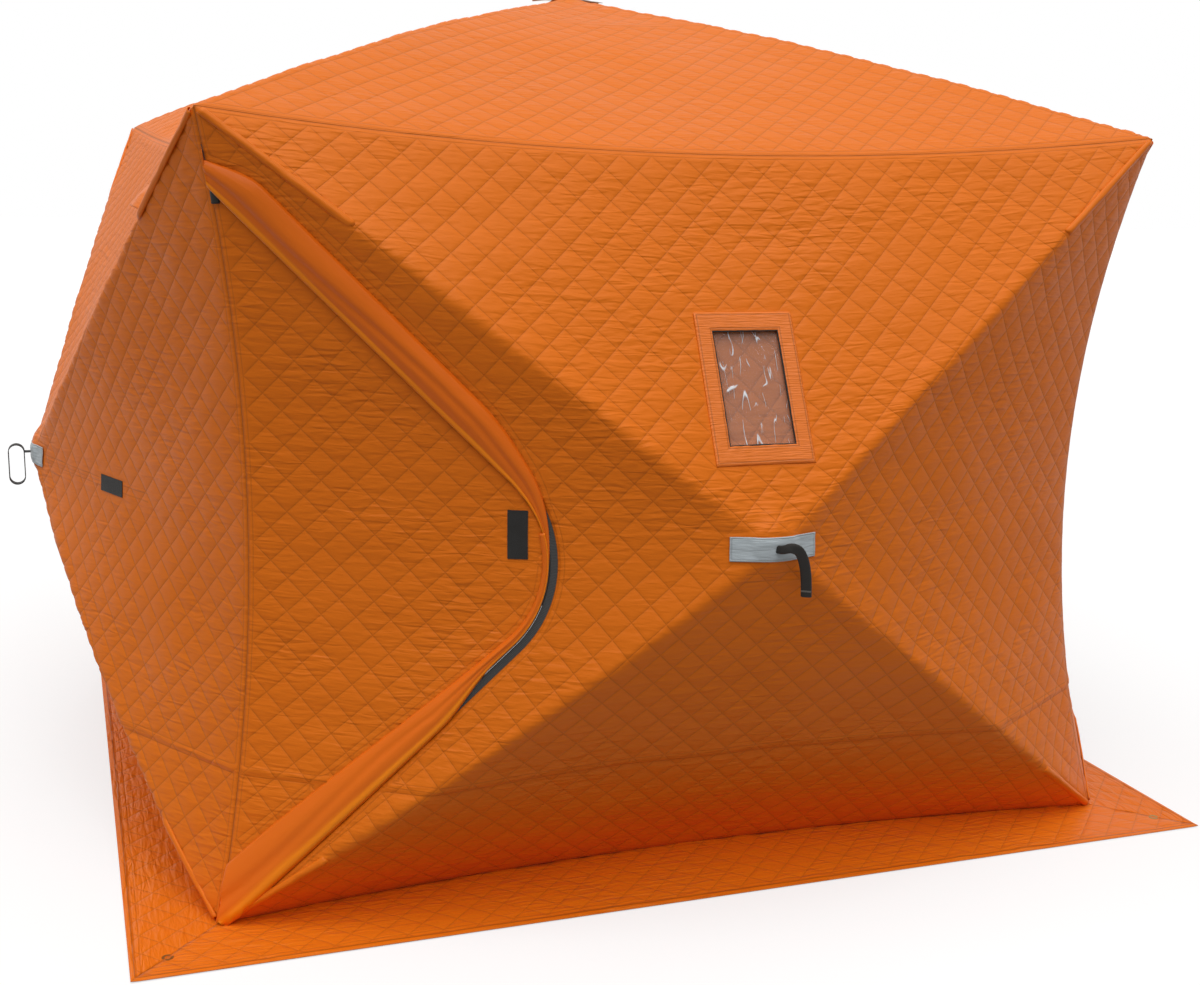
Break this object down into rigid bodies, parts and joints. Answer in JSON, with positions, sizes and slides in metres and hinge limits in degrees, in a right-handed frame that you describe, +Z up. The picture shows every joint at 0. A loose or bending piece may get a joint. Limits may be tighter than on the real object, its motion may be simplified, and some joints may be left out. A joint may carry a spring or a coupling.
{
  "type": "ice fishing shelter",
  "caption": "Pop-up quilted shelter for ice fishing: hub-and-pole walls and roof, side-hinged zip door, small window, vent hoods and a ground skirt with anchor eyelets.",
  "frame": {"origin": "on the ground under the middle of the shelter", "axes": "+Z up; the wall with the door faces -Y, with the door at its -X side; the wall with the tie-back tape faces -X"},
  "size_m": [2.9676, 2.9676, 2.0438],
  "materials": {
    "shell_cloth": "quilted polyester oxford cloth, satin",
    "door_cloth": "quilted polyester oxford cloth, satin",
    "skirt_cloth": "quilted polyester oxford cloth, satin",
    "flap_cloth": "coated nylon, semi-gloss",
    "hood_cloth": "coated nylon, semi-gloss",
    "reflective_band": "grey reflective tape cloth",
    "webbing": "black woven polypropylene",
    "hook_tape": "black hook and loop tape",
    "zip": "black coil zip on woven tape",
    "window_film": "clear flexible film, glossy",
    "moulded_nylon": "glass-filled nylon, satin",
    "fibre_rod": "pultruded glass fibre, semi-gloss",
    "brass": "rolled brass, dulled"
  },
  "bodies": {
    "shelter": {"front_top_panel": "shell_cloth", "front_right_panel": "shell_cloth", "front_bottom_panel": "shell_cloth", "front_left_panel": "shell_cloth", "roof_front_panel": "shell_cloth", "front_skirt": "skirt_cloth", "front_pull_strap": "webbing", "right_top_panel": "shell_cloth", "right_right_panel": "shell_cloth", "right_bottom_panel": "shell_cloth", "right_left_panel": "shell_cloth", "roof_right_panel": "shell_cloth", "right_skirt": "skirt_cloth", "right_pull_strap": "webbing", "back_top_panel": "shell_cloth", "back_right_panel": "shell_cloth", "back_bottom_panel": "shell_cloth", "back_left_panel": "shell_cloth", "roof_back_panel": "shell_cloth", "back_skirt": "skirt_cloth", "back_pull_strap": "webbing", "left_top_panel": "shell_cloth", "left_right_panel": "shell_cloth", "left_bottom_panel": "shell_cloth", "left_left_panel": "shell_cloth", "roof_left_panel": "shell_cloth", "left_skirt": "skirt_cloth", "left_pull_strap": "webbing", "roof_pull_strap": "webbing", "door_jamb": "door_cloth", "tie_back_tape": "hook_tape", "zip_tape": "zip", "storm_flap": "flap_cloth", "window_panes": "window_film", "window_covers": "shell_cloth", "vent_hoods": "hood_cloth", "hubs": "moulded_nylon", "wall_poles": "fibre_rod", "roof_poles": "fibre_rod", "corner_joints": "moulded_nylon", "hub_patches": "reflective_band", "skirt_grommets": "brass", "guy_tabs": "webbing"},
    "door": {"door_leaf": "door_cloth", "door_tape": "hook_tape"}
  },
  "joints": [
    {"name": "door_swing", "type": "hinge", "parent": "shelter", "child": "door", "pos_m": [-1.03, -1.03, 0.79], "axis": [0, 0, -1], "range_deg": [0, 150]}
  ]
}
